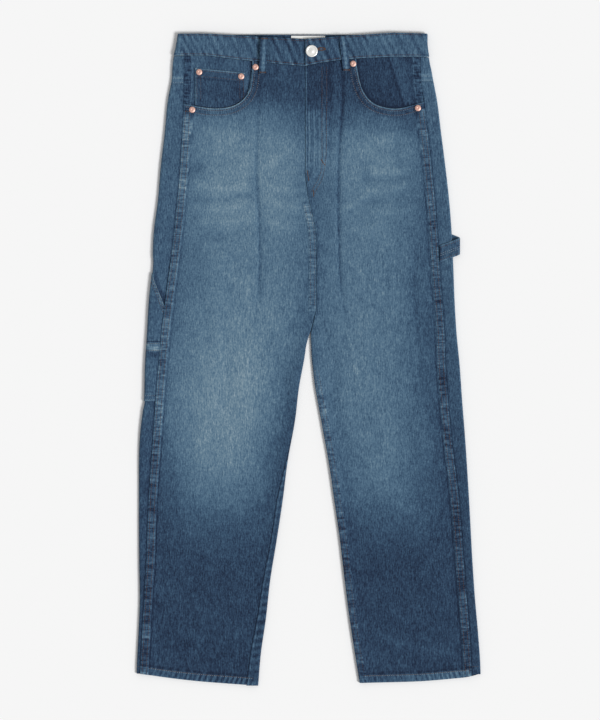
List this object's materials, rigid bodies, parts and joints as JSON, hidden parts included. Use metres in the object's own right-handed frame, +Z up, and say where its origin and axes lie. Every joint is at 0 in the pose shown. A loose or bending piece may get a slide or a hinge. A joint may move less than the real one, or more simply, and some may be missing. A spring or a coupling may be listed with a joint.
{
  "type": "jeans",
  "caption": "Straight-leg carpenter jeans in washed blue denim, laid flat on their back with the front up, with curved front pockets, a side ruler pocket and a hammer loop.",
  "frame": {"origin": "middle of the jeans' outline on the surface they lie on", "axes": "+Y towards the waist, +Z up out of the front, +X towards the wearer's left leg"},
  "size_m": [0.5157, 0.9786, 0.0143],
  "materials": {
    "denim": "washed twill, worn pale on the thighs, knees and edges",
    "denim_dark": "washed twill, darker where the pocket shades it",
    "label_tape": "plain woven tape",
    "nickel": "satin plated",
    "copper": "satin copper"
  },
  "bodies": {
    "root": {"waistband": "denim", "front_panel_right": "denim", "front_panel_left": "denim", "back_panel_right": "denim", "back_panel_left": "denim", "yoke_right": "denim", "yoke_left": "denim", "pocket_facing_right": "denim_dark", "pocket_facing_left": "denim_dark", "coin_pocket": "denim_dark", "back_pocket_right": "denim", "back_pocket_left": "denim", "tool_pocket_upper": "denim", "tool_pocket_lower": "denim", "hammer_loop": "denim", "belt_loop_front_right": "denim", "belt_loop_front_left": "denim", "belt_loop_side_right": "denim", "belt_loop_side_left": "denim", "belt_loop_back": "denim", "label": "label_tape", "button": "nickel", "rivet_1": "copper", "rivet_2": "copper", "rivet_3": "copper", "rivet_4": "copper", "rivet_5": "copper", "rivet_6": "copper"}
  },
  "joints": []
}
